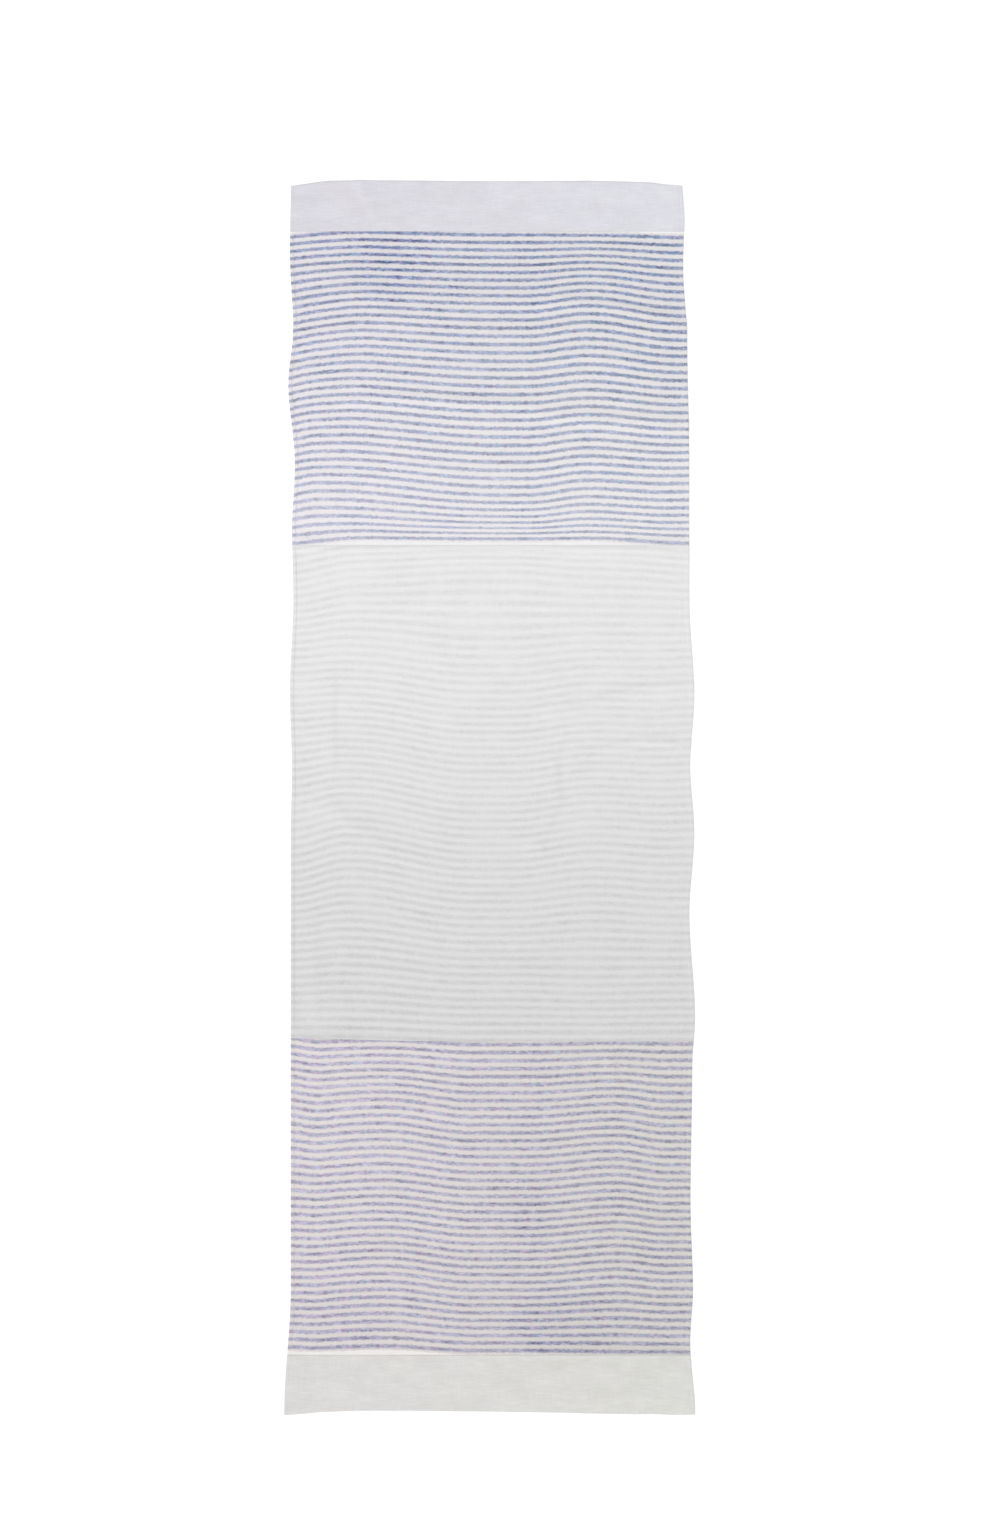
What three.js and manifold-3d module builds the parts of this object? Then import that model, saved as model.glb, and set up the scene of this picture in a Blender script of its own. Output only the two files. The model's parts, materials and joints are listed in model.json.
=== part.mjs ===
// A table runner: five pieces of light cotton cloth joined end to end by four sewn seams, with stitched side hems.
// Millimetres. X runs across the runner, Y along it towards the blue end, +Z up.
// The origin lies on the table top, under the middle of the runner.
import * as THREE from "three";
import { mergeVertices } from "three/addons/utils/BufferGeometryUtils.js";
import Module from "manifold-3d";

// Lengths along the runner, each from seam to seam or from seam to end
const HEAD_BAND_LENGTH = 62;
const UPPER_PANEL_LENGTH = 382;
const CENTRE_PANEL_LENGTH = 604;
const LOWER_PANEL_LENGTH = 382;
const FOOT_BAND_LENGTH = 70;

// Across and through the cloth
const WIDTH = 500;
const PANEL_THICKNESS = 1.2; // one layer of crimped gauze, with the low waves that it lies in
const BAND_THICKNESS = 1.8; // two layers: the band is folded double
const HEM_WIDTH = 4.5; // from the side edge to the line of stitching
const THREAD_DIAMETER = 0.5;
const CLEARANCE = 0.3; // between a thread and the cloth around it
const BAND_STITCH_MARGIN = 3; // side stitching of a band stops this far from its folded end

// How the cloth lies: the corners are pulled towards the foot end, and the sides wave in and out.
const CORNER_PULL = 4;
const CORNER_REACH = 45;
// Each point of a side: its place as a share of the length from the head end, and how far it is drawn in.
const LEFT_SIDE = [
  [0, 8],
  [0.06, 7],
  [0.12, 11],
  [0.165, 5],
  [0.23, 13],
  [0.285, 9.5],
  [0.34, 11],
  [0.415, 7],
  [0.48, 9.5],
  [0.53, 8],
  [0.9, 8],
  [1, 0],
];
const RIGHT_SIDE = [
  [0, 15.5],
  [0.03, 13],
  [0.07, 14.5],
  [0.13, 9.5],
  [0.23, 7],
  [0.34, 7],
  [0.42, 1],
  [0.475, 6],
  [0.53, 1],
  [0.595, 7],
  [0.68, 0],
  [0.72, 3.5],
  [0.83, 5.5],
  [0.9, 2.5],
  [0.945, 6],
  [1, 0],
];

// Fineness of the solids
const SIDE_STEP = 20;
const END_STEPS = 24;
const THREAD_SIDES = 6;

// Worked out from the sizes above
const LENGTH =
  HEAD_BAND_LENGTH + UPPER_PANEL_LENGTH + CENTRE_PANEL_LENGTH + LOWER_PANEL_LENGTH + FOOT_BAND_LENGTH;
const HEAD_END = LENGTH / 2;
const FOOT_END = -LENGTH / 2;
const HEAD_BAND_SEAM = HEAD_END - HEAD_BAND_LENGTH;
const UPPER_SEAM = HEAD_BAND_SEAM - UPPER_PANEL_LENGTH;
const LOWER_SEAM = UPPER_SEAM - CENTRE_PANEL_LENGTH;
const FOOT_BAND_SEAM = FOOT_END + FOOT_BAND_LENGTH;
const THREAD_RADIUS = THREAD_DIAMETER / 2;
const CHANNEL_RADIUS = THREAD_RADIUS + CLEARANCE;
const SEAM_GAP = 2 * CHANNEL_RADIUS;

const wasm = await Module();
wasm.setup();

// Materials

function cloth(color) {
  return new THREE.MeshStandardMaterial({ color, roughness: 0.95, metalness: 0 });
}

const plainBandCloth = cloth(0xdcdcde);
const blueStripedCloth = cloth(0xc2c8dc);
const greyStripedCloth = cloth(0xe2e2e2);
const violetStripedCloth = cloth(0xcac6d3);
const sewingThread = new THREE.MeshStandardMaterial({ color: 0xeeeeee, roughness: 0.8, metalness: 0 });

// Solids

function toSolid(geometry) {
  const bare = geometry.clone();
  bare.deleteAttribute("normal");
  bare.deleteAttribute("uv");
  const merged = mergeVertices(bare, 1e-4);
  return new wasm.Manifold(
    new wasm.Mesh({
      numProp: 3,
      vertProperties: merged.attributes.position.array,
      triVerts: new Uint32Array(merged.index.array),
    }),
  );
}

function toGeometry(solid) {
  const mesh = solid.getMesh();
  return new THREE.BufferGeometry()
    .setAttribute("position", new THREE.BufferAttribute(mesh.vertProperties, 3))
    .setIndex(new THREE.BufferAttribute(mesh.triVerts, 1));
}

// Outline of the runner as it lies

function ease(t) {
  const held = Math.min(1, Math.max(0, t));
  return held * held * (3 - 2 * held);
}

function drawnIn(side, y) {
  const share = (HEAD_END - y) / LENGTH;
  const next = Math.max(1, side.findIndex(([place]) => place >= share));
  const [fromPlace, fromDepth] = side[next - 1];
  const [toPlace, toDepth] = side[next];
  return fromDepth + (toDepth - fromDepth) * ease((share - fromPlace) / (toPlace - fromPlace));
}

function leftX(y) {
  return -WIDTH / 2 + drawnIn(LEFT_SIDE, Math.min(HEAD_END, Math.max(FOOT_END, y)));
}

function rightX(y) {
  return WIDTH / 2 - drawnIn(RIGHT_SIDE, Math.min(HEAD_END, Math.max(FOOT_END, y)));
}

// The head end stops short at its corners, and the foot end stops short between its corners.
function headEndY(fromSide) {
  return HEAD_END - CORNER_PULL * (1 - ease(fromSide / CORNER_REACH));
}

function footEndY(fromSide) {
  return FOOT_END + CORNER_PULL * ease(fromSide / CORNER_REACH);
}

function sidePoints(edgeX, fromY, toY) {
  const steps = Math.max(2, Math.ceil(Math.abs(toY - fromY) / SIDE_STEP));
  return Array.from({ length: steps + 1 }, (_, i) => {
    const y = fromY + ((toY - fromY) * i) / steps;
    return new THREE.Vector2(edgeX(y), y);
  });
}

function endPoints(endY, fromX, toX) {
  return Array.from({ length: END_STEPS - 1 }, (_, i) => {
    const x = fromX + ((toX - fromX) * (i + 1)) / END_STEPS;
    return new THREE.Vector2(x, endY(Math.min(Math.abs(x - fromX), Math.abs(toX - x))));
  });
}

// One piece of cloth between two Y places; a shaped end follows its own curve.
function clothOutline({ top, bottom, topEnd, bottomEnd }) {
  const right = sidePoints(rightX, bottom, top);
  const left = sidePoints(leftX, top, bottom);
  const across = topEnd ? endPoints(topEnd, rightX(top), leftX(top)) : [];
  const back = bottomEnd ? endPoints(bottomEnd, leftX(bottom), rightX(bottom)) : [];
  return new THREE.Shape([...right, ...across, ...left, ...back]);
}

function tube(path, radius, steps) {
  const section = new THREE.Shape(
    Array.from({ length: THREAD_SIDES }, (_, i) => {
      const turn = ((i + 0.5) / THREAD_SIDES) * 2 * Math.PI;
      return new THREE.Vector2(radius * Math.cos(turn), radius * Math.sin(turn));
    }),
  );
  return new THREE.ExtrudeGeometry(section, { steps, extrudePath: path, bevelEnabled: false });
}

// The line of a side's stitching, at the hem's inner edge and level with the top of the cloth.
function hemLine(edgeX, inward, thickness, fromY, toY) {
  const z = thickness - THREAD_RADIUS;
  return new THREE.CatmullRomCurve3(
    sidePoints(edgeX, fromY, toY).map((point) => new THREE.Vector3(point.x + inward * HEM_WIDTH, point.y, z)),
  );
}

// Subcomponents

const runner = new THREE.Group();

function add(name, geometry, material) {
  const mesh = new THREE.Mesh(geometry, material);
  mesh.name = name;
  runner.add(mesh);
}

// A piece of cloth with a channel for the stitching of each side hem, and the two stitching threads in them.
function addCloth(name, material, thickness, piece) {
  const outline = clothOutline(piece);
  let solid = toSolid(new THREE.ExtrudeGeometry(outline, { depth: thickness, bevelEnabled: false }));
  const threadTop = piece.topEnd ? piece.top - BAND_STITCH_MARGIN : piece.top;
  const threadBottom = piece.bottomEnd ? piece.bottom + BAND_STITCH_MARGIN : piece.bottom;
  const pastTop = threadTop + (piece.topEnd ? CLEARANCE : CHANNEL_RADIUS);
  const pastBottom = threadBottom - (piece.bottomEnd ? CLEARANCE : CHANNEL_RADIUS);
  const steps = Math.max(2, Math.ceil((piece.top - piece.bottom) / SIDE_STEP));
  for (const [side, edgeX, inward] of [
    ["left", leftX, 1],
    ["right", rightX, -1],
  ]) {
    const channel = hemLine(edgeX, inward, thickness, pastTop, pastBottom);
    solid = solid.subtract(toSolid(tube(channel, CHANNEL_RADIUS, steps)));
    const thread = hemLine(edgeX, inward, thickness, threadTop, threadBottom);
    add(`${name}_${side}_hem_stitching`, tube(thread, THREAD_RADIUS, steps), sewingThread);
  }
  add(name, toGeometry(solid), material);
}

// The stitching that joins two pieces lies in the joint line between them.
function addSeam(name, seamY) {
  const z = PANEL_THICKNESS / 2;
  const left = new THREE.Vector3(leftX(seamY) + CLEARANCE, seamY, z);
  const right = new THREE.Vector3(rightX(seamY) - CLEARANCE, seamY, z);
  add(name, tube(new THREE.LineCurve3(left, right), THREAD_RADIUS, 1), sewingThread);
}

addCloth("head_band", plainBandCloth, BAND_THICKNESS, {
  top: HEAD_END - CORNER_PULL,
  bottom: HEAD_BAND_SEAM + SEAM_GAP / 2,
  topEnd: headEndY,
});
addCloth("upper_panel", blueStripedCloth, PANEL_THICKNESS, {
  top: HEAD_BAND_SEAM - SEAM_GAP / 2,
  bottom: UPPER_SEAM + SEAM_GAP / 2,
});
addCloth("centre_panel", greyStripedCloth, PANEL_THICKNESS, {
  top: UPPER_SEAM - SEAM_GAP / 2,
  bottom: LOWER_SEAM + SEAM_GAP / 2,
});
addCloth("lower_panel", violetStripedCloth, PANEL_THICKNESS, {
  top: LOWER_SEAM - SEAM_GAP / 2,
  bottom: FOOT_BAND_SEAM + SEAM_GAP / 2,
});
addCloth("foot_band", plainBandCloth, BAND_THICKNESS, {
  top: FOOT_BAND_SEAM - SEAM_GAP / 2,
  bottom: FOOT_END,
  bottomEnd: footEndY,
});

addSeam("head_band_seam_stitching", HEAD_BAND_SEAM);
addSeam("upper_seam_stitching", UPPER_SEAM);
addSeam("lower_seam_stitching", LOWER_SEAM);
addSeam("foot_band_seam_stitching", FOOT_BAND_SEAM);

export default runner;
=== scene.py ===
"""A table runner of light cotton, laid out flat: three striped panels of gauze between two plain bands.

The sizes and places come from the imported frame. Lengths are in metres, X across the runner, Y along it.
"""

import json
import math

import bmesh
import bpy
import numpy as np
from bpy.props import FloatProperty, FloatVectorProperty, IntProperty, PointerProperty
from mathutils import Matrix, Vector


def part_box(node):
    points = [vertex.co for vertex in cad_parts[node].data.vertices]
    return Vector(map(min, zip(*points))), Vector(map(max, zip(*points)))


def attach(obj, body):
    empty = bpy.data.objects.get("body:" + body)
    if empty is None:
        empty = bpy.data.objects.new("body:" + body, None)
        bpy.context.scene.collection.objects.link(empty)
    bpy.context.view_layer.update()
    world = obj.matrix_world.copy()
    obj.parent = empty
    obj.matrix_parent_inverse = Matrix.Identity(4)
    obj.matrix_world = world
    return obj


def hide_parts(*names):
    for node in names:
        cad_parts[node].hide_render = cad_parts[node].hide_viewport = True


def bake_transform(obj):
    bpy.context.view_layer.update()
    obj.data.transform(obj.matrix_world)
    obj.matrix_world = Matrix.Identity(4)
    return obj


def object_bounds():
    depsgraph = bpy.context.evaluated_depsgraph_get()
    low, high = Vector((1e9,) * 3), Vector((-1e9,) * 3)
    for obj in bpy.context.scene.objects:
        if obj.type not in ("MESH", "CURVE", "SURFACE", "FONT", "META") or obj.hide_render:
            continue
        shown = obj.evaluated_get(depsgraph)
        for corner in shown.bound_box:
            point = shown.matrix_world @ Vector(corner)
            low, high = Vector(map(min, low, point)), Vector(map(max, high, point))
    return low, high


bl_info = {
    "name": "Table Runner",
    "version": (1, 0, 0),
    "blender": (4, 5, 0),
    "location": "View3D > Sidebar > Table Runner",
    "description": "Builds a striped cotton table runner around its CAD frame",
    "category": "Object",
}

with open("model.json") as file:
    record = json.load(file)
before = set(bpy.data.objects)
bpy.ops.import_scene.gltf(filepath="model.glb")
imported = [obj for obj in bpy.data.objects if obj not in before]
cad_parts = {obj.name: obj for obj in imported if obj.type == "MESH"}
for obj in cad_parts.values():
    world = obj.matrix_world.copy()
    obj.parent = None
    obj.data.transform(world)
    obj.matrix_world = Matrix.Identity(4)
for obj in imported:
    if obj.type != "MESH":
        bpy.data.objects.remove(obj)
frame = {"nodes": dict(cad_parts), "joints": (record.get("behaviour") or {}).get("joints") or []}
CAD_LOW, CAD_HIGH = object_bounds()

MM = 0.001
TABLE_GAP = 0.05 * MM  # under the relief, so that no fibre lies in the table
SIDE_ZONE = 12 * MM  # CAD points this near a side belong to the side, and the others to the end
TOUCH = 0.06 * MM  # half the space left between two cloths at a seam

# Finer rows and columns, in millimetres from a seam and from a side
SEAM_ROWS = [0.4, 0.8, 1.2, 1.6, 2.0, 2.5, 3.0, 3.6, 4.2, 5.0, 5.8, 6.8, 7.8, 9.0, 10.5]
HEM_COLUMNS = [0.4, 0.9, 1.8, 2.8, 3.5, 3.9, 4.2, 4.5, 4.8, 5.1, 5.6, 6.4, 7.6, 9.0]
FOLD_ROWS = 8  # round the folded end of a band

HEM_WIDTH = 4.5 * MM
HEM_STEP = 0.9 * MM  # the turned cloth under a hem ends over this width
SEAM_ALLOWANCE = 7 * MM  # turned under at each seam
ALLOWANCE_STEP = 2 * MM  # and ends over this width
PANEL_GROOVE = 0.3 * MM  # how deep the stitching sinks into a panel
BAND_GROOVE = 0.18 * MM  # and into a band
BAND_RISE = 0.55  # a double band is stiffer, and follows this share of the ripples

# The lower seam bows towards the head end near its left side.
LOWER_SEAM_BOW = 3.6 * MM
BOW_WIDTH = 190 * MM  # the bow ends this far from the left side
BOW_REACH = 60 * MM  # and draws the cloth along this far from the seam

# How much farther than its solid a band's folded end lies from its seam: (place across, reach), in
# millimetres
END_REACH = {
    "head_band": [
        *((-245, -3.6), (-230, -2.3), (-206, -1.4), (0, -1.4)),
        *((150, -1.4), (207, -2.9), (236, -2.8)),
    ],
    "foot_band": [
        *((-250, 3.6), (-206, 3.9), (-170, 2.4), (-85, 2.4)),
        *((60, 4), (183, 6.3), (220, 6), (250, 2.8)),
    ],
}

# Stitching
FOLD_STITCH_MARGIN = 3 * MM  # a band's side stitching starts this far from its folded end
SHORT_OF_SEAM = 0.4 * MM  # and side stitching stops this far from a seam
SEAM_STITCH_MARGIN = 1.5 * MM  # a seam's stitching stops this far from the sides

# Weaving
PANEL_YARN_WIDTH = 0.0008
BAND_YARN_WIDTH = 0.00075
WEFT_WOBBLE = 1.5 * MM  # how far the edge of a stripe wavers

KEY_PLACE = (-1.2, -1.6, 2.4)  # where the key light comes from
SENSOR_WIDTH = 36
VIEW_END = 50


def joint_of(body):
    """The joint that turns this body."""
    return next(j for j in frame["joints"] if j["child"] == body)


UPPER_SEAM = joint_of("upper")["pos_m"][1]
HEAD_BAND_SEAM = joint_of("head")["pos_m"][1]
LOWER_SEAM = joint_of("lower")["pos_m"][1]
FOOT_BAND_SEAM = joint_of("foot")["pos_m"][1]


# Settings


def shade(red, green, blue):
    """A colour from a shade card, 0 to 255, as the linear colour that Blender mixes."""

    def linear(value):
        share = value / 255
        return share / 12.92 if share <= 0.04045 else ((share + 0.055) / 1.055) ** 2.4

    return linear(red), linear(green), linear(blue)


def dye(name, description, *rgb):
    """A colour setting."""
    return FloatVectorProperty(
        name=name, description=description, default=shade(*rgb), subtype="COLOR", min=0, max=1
    )


def size(name, description, millimetres):
    """A length setting."""
    return FloatProperty(
        name=name,
        description=description,
        default=millimetres * MM,
        min=0,
        subtype="DISTANCE",
        unit="LENGTH",
    )


class RunnerClothSettings(bpy.types.PropertyGroup):
    """How thick the cloth is and how it lies."""

    gauze_thickness: size("Gauze thickness", "One layer of the striped gauze", 0.45)
    hem_thickness: size("Hem thickness", "The gauze turned twice along a side", 1.05)
    allowance_thickness: size("Allowance thickness", "The gauze turned under at a seam", 0.85)
    leaf_thickness: size("Band leaf thickness", "One leaf of a folded band", 0.62)
    leaf_gap: size("Band leaf gap", "Space between the two leaves of a band", 0.14)
    ripple_height: size("Ripple height", "Height of the long soft ripples", 0.75)
    pucker_height: size("Pucker height", "Height of the gathers along hems and seams", 0.16)
    crumple_height: size("Crumple height", "Height of the small unevenness all over", 0.12)
    grid_step: size("Grid step", "Distance between the rows and columns of the cloth", 3.0)


class RunnerDyeSettings(bpy.types.PropertyGroup):
    """The colours of the cloths and the thread."""

    head_band: dye("Head band", "Plain cloth at the blue end", 213, 212, 218)
    foot_band: dye("Foot band", "Plain cloth at the violet end", 211, 210, 207)
    selvedge: dye("Selvedge", "Undyed strip beside a seam", 232, 231, 232)
    blue_ground: dye("Blue panel ground", "Between the blue stripes", 220, 217, 220)
    blue_stripe: dye("Blue stripe", "Denim blue weft", 146, 156, 187)
    grey_ground: dye("Grey panel ground", "Between the grey stripes", 218, 218, 218)
    grey_stripe: dye("Grey stripe", "Pale grey weft", 206, 206, 206)
    violet_ground: dye("Violet panel ground", "Between the violet stripes", 210, 205, 202)
    violet_stripe: dye("Violet stripe", "Violet-blue weft", 165, 163, 181)
    thread: dye("Thread", "Off-white sewing thread", 222, 222, 222)


class RunnerStitchSettings(bpy.types.PropertyGroup):
    """The machine stitching."""

    stitch_length: size("Stitch length", "Visible length of one stitch", 2.3)
    stitch_pitch: size("Stitch pitch", "From one stitch to the next", 3.0)
    thread_thickness: size("Thread thickness", "Diameter of the sewing thread", 0.34)
    sides: IntProperty(name="Stitch sides", description="Faces round a stitch", default=6, min=5, max=12)


class RunnerStageSettings(bpy.types.PropertyGroup):
    """The floor, the lights and the camera."""

    floor_width: FloatProperty(
        name="Floor width", description="Side of the square floor", default=40, min=2, unit="LENGTH"
    )
    floor_colour: dye("Floor colour", "Plain pale floor", 252, 252, 252)
    dome_strength: FloatProperty(
        name="Dome strength", description="Brightness of the even light all round", default=0.68, min=0
    )
    key_strength: FloatProperty(
        name="Key strength", description="Brightness of the soft light from one side", default=1.95, min=0
    )
    key_softness: FloatProperty(
        name="Key softness", description="How wide the key light is", default=0.8, min=0, subtype="ANGLE"
    )
    camera_height: FloatProperty(
        name="Camera height", description="Height over the table", default=3.63, min=1, unit="LENGTH"
    )
    lens: FloatProperty(name="Lens", description="Focal length in millimetres", default=70, min=10)
    camera_right: size("Camera to the right", "From the middle of the runner", 12.8)
    camera_ahead: size("Camera towards the head end", "From the middle of the runner", 36.5)


# Shapes through points


def eased(share):
    """0 to 1 with a soft start and end."""
    held = np.clip(share, 0, 1)
    return held * held * (3 - 2 * held)


def fading(distance, reach):
    """1 up to distance 0, and 0 from the reach on."""
    return 1 - eased(distance / reach)


def wave(at, length, start=0):
    """A wave of this length, from -1 to 1."""
    return np.sin(2 * np.pi * at / length + start)


def bell(distance, reach_before, reach_after):
    """A round ridge: 1 at distance 0, and 0 past its reach on either side."""
    share = np.where(distance < 0, distance / reach_before, distance / reach_after)
    return np.cos(np.pi / 2 * np.clip(share, -1, 1)) ** 2


def smooth_line(points, at):
    """A smooth line through (place, value) points, read at the given places."""
    places, values = np.array(sorted(points), float).T
    slopes = np.gradient(values, places)
    last = np.clip(np.searchsorted(places, at), 1, len(places) - 1)
    span = places[last] - places[last - 1]
    t = np.clip((at - places[last - 1]) / span, 0, 1)
    from_value = (1 + 2 * t) * (1 - t) ** 2 * values[last - 1]
    to_value = t * t * (3 - 2 * t) * values[last]
    bend = t * (1 - t) ** 2 * slopes[last - 1] - t * t * (1 - t) * slopes[last]
    return from_value + to_value + bend * span


def crumple(x, y, wavelength):
    """Even unevenness from -1 to 1: waves of nearly one length that run in many directions."""
    total = np.zeros_like(x)
    directions = 7
    for i in range(directions):
        turn = i * 2.4 + wavelength * 31
        pace = 2 * np.pi / (wavelength * (0.8 + 0.07 * i))
        total += np.sin(pace * (x * math.cos(turn) + y * math.sin(turn)) + 5.1 * i)
    return total / directions * 1.6


# How the wefts lie. Each ripple draws them towards the head end by so many millimetres, at places along
# the panel that are counted in millimetres from its head seam.


class Ripple:
    """A lengthwise ripple: where it is across the runner, its reach, and its pull along the panel."""

    def __init__(self, across, reach_before, reach_after, *pull):
        self.across, self.before, self.after = across * MM, reach_before * MM, reach_after * MM
        self.pull = [(place * MM, drawn * MM) for place, drawn in pull]

    def lift(self, x, along):
        return smooth_line(self.pull, along) * bell(x - self.across, self.before, self.after)


ALL_OVER = 100000  # a reach so great that the pull is the same all across


def everywhere(*pull):
    return Ripple(0, ALL_OVER, ALL_OVER, *pull)


def left_side(reach, *pull):
    return Ripple(-252, ALL_OVER, reach, *pull)


def right_side(reach, *pull):
    return Ripple(250, reach, ALL_OVER, *pull)


UPPER_RIPPLES = [
    everywhere((4, -0.5), (60, 4.5), (110, 6), (190, 5), (300, 2.5), (330, 3), (354, 8.5), (373, 19)),
    Ripple(
        -209, 80, 224, (4, 4.7), (60, 6.3), (180, 11.5), (270, 14.4), (330, 14.8), (354, 10), (373, 2)
    ),
    Ripple(120, 75, 104, (4, -0.5), (60, 6), (200, 6), (300, 7.8), (330, 8), (354, 6), (373, 1)),
    left_side(108, (4, -6), (32, -5.6), (88, -10.4), (180, -7.3), (300, -1.5), (354, -2.9), (373, -7.3)),
    right_side(132, (4, -3.4), (88, -5.4), (240, -0.8), (330, 3.6), (354, 0.5), (373, -5.6)),
]
CENTRE_RIPPLES = [
    everywhere((5, 21), (30, 25.7), (66, 18.8), (112, 5.2), (147, 1), (300, 1.5), (592, 2)),
    Ripple(
        *(-170, 75, 151),
        *((5, -4), (30, -6.8), (66, -1), (112, 10.6), (147, 14), (500, 13.5), (563, 7.2), (592, 4.6)),
    ),
    Ripple(
        *(128, 102, 101),
        *((5, -4), (30, -6.2), (66, -3.2), (112, 5), (250, 11.2), (475, 4.6), (534, -2.8), (592, 0)),
    ),
    left_side(
        92,
        *((5, -17), (30, -22), (66, -14), (112, 3.7), (177, 14)),
        *((295, 11.7), (400, 6), (475, 9.2), (592, 5.6)),
    ),
    right_side(
        122,
        *((5, -10.6), (30, -13), (66, -6.3), (112, 4.8), (266, 10.2), (475, 1.6), (534, -1), (592, 0.7)),
    ),
]
LOWER_RIPPLES = [
    everywhere((4, 0), (122, -2.3), (320, -1.7), (376, 0.6)),
    Ripple(-130, 167, 112, (4, 5.5), (63, 10.9), (180, 10), (320, 9.9), (376, 5.7)),
    Ripple(154, 106, 62, (4, 1.6), (63, 5.5), (200, 6.7), (320, 4.3), (376, -0.8)),
    left_side(50, (4, 7.2), (92, 9.2), (180, 5.9), (376, 3.5)),
    right_side(158, (4, 0.9), (92, -0.7), (320, 1.3), (376, -1.7)),
]


# The cloths, as the frame gives them


class Cloth:
    """One piece of cloth: where it lies, read from its CAD solid, and the ripples in its wefts."""

    def __init__(self, node, body, head_seam, foot_seam, ripples=()):
        self.node, self.body, self.ripples = node, body, ripples
        self.low, self.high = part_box(node)
        self.head = self.high.y if head_seam is None else head_seam - TOUCH
        self.foot = self.low.y if foot_seam is None else foot_seam + TOUCH
        self.head_seam, self.foot_seam = head_seam, foot_seam
        points = np.array([v.co for v in frame["nodes"][node].data.vertices], float)
        points = np.unique(np.round(points[points[:, 2] < 0.1 * MM], 6), axis=0)
        near_left = points[:, 0] < self.low.x + SIDE_ZONE
        near_right = points[:, 0] > self.high.x - SIDE_ZONE
        self.left_points = [(p[1], p[0]) for p in points[near_left]]
        self.right_points = [(p[1], p[0]) for p in points[near_right]]
        self.end_points = [(p[0], p[1]) for p in points[~near_left & ~near_right]]

    def left(self, y):
        return smooth_line(self.left_points, y)

    def right(self, y):
        return smooth_line(self.right_points, y)


UPPER_PANEL = Cloth("upper_panel", "upper", HEAD_BAND_SEAM, UPPER_SEAM, UPPER_RIPPLES)
CENTRE_PANEL = Cloth("centre_panel", "centre", UPPER_SEAM, LOWER_SEAM, CENTRE_RIPPLES)
LOWER_PANEL = Cloth("lower_panel", "lower", LOWER_SEAM, FOOT_BAND_SEAM, LOWER_RIPPLES)
HEAD_BAND = Cloth("head_band", "head", None, HEAD_BAND_SEAM)
FOOT_BAND = Cloth("foot_band", "foot", FOOT_BAND_SEAM, None)
PANELS = [UPPER_PANEL, CENTRE_PANEL, LOWER_PANEL]
BANDS = [HEAD_BAND, FOOT_BAND]
WIDTH = CAD_HIGH.x - CAD_LOW.x


def band_end(band):
    """The band's folded end: how far along it lies, and (x, y) points at its corners and between them."""
    at, farthest = (band.head, max) if band is HEAD_BAND else (band.foot, min)
    corners = [(x, y) for y, x in (farthest(band.left_points), farthest(band.right_points))]
    return at, corners + band.end_points


# Soft creases left from storing the runner: height, reach on the steep side, reach on the gentle side
# and (x, y) points, all in millimetres. The gentle side is on the left when the points are followed.
CREASES = [
    (0.7, 9, 14, [(-260, 10), (-180, -25), (-115, -70), (-60, -90), (0, -95), (40, -75)]),
    (1.1, 3.4, 30, [(55, -80), (85, -5), (80, 45), (97, 97), (120, 125)]),
    (1.1, 4.5, 16, [(270, 139), (180, 132), (130, 119), (97, 97), (80, 70)]),
    (1.3, 5, 5, [(120, 50), (150, 62), (187, 69), (270, 58)]),
    (1.0, 3.2, 22, [(-189, 20), (-191, 95), (-190, 170)]),
    (0.7, 5, 15, [(-212, -290), (-215, -140)]),
    (1.3, 4, 12, [(60, 478), (-88, 488), (-200, 483)]),
    (1.6, 8, 14, [(10, 478), (135, 455), (270, 451)]),
    (1.3, 8, 20, [(-150, 578), (-12, 594), (110, 605)]),
    (1.5, 5.5, 14, [(270, 568), (159, 598), (60, 607)]),
    (1.3, 3, 14, [(154, -360), (150, -298)]),
    (1.5, 4, 12, [(-170, 760), (-136, 700)]),
    (1.3, 4, 14, [(132, 690), (118, 760)]),
    (1.2, 5, 12, [(-240, -742), (-150, -708)]),
    (1.2, 5, 12, [(160, -752), (245, -718)]),
    (0.8, 3.5, 20, [(270, 300.5), (0, 301), (-230, 301)]),
    (0.9, 3.5, 20, [(20, -302), (-100, -299), (-260, -297.5)]),
]


def crease(x, y, height, steep, gentle, points):
    """A soft ridge along a line of points that dies out at both ends."""
    whole = sum(math.dist(a, b) for a, b in zip(points[:-1], points[1:]))
    nearest = np.full_like(x, np.inf)
    reach = np.full_like(x, steep)
    along = np.zeros_like(x)
    passed = 0.0
    for (from_x, from_y), (to_x, to_y) in zip(points[:-1], points[1:]):
        run_x, run_y = to_x - from_x, to_y - from_y
        length = math.hypot(run_x, run_y)
        away_x, away_y = x / MM - from_x, y / MM - from_y
        share = np.clip((away_x * run_x + away_y * run_y) / length**2, 0, 1)
        distance = np.hypot(away_x - share * run_x, away_y - share * run_y)
        on_left = run_x * away_y > run_y * away_x
        closer = distance < nearest
        nearest = np.where(closer, distance, nearest)
        reach = np.where(closer, np.where(on_left, gentle, steep), reach)
        along = np.where(closer, passed + share * length, along)
        passed += length
    fade = eased(np.minimum(along, whole - along) / min(30, whole / 3))
    return height * MM * fade * np.exp(-((nearest / reach) ** 2))


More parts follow.
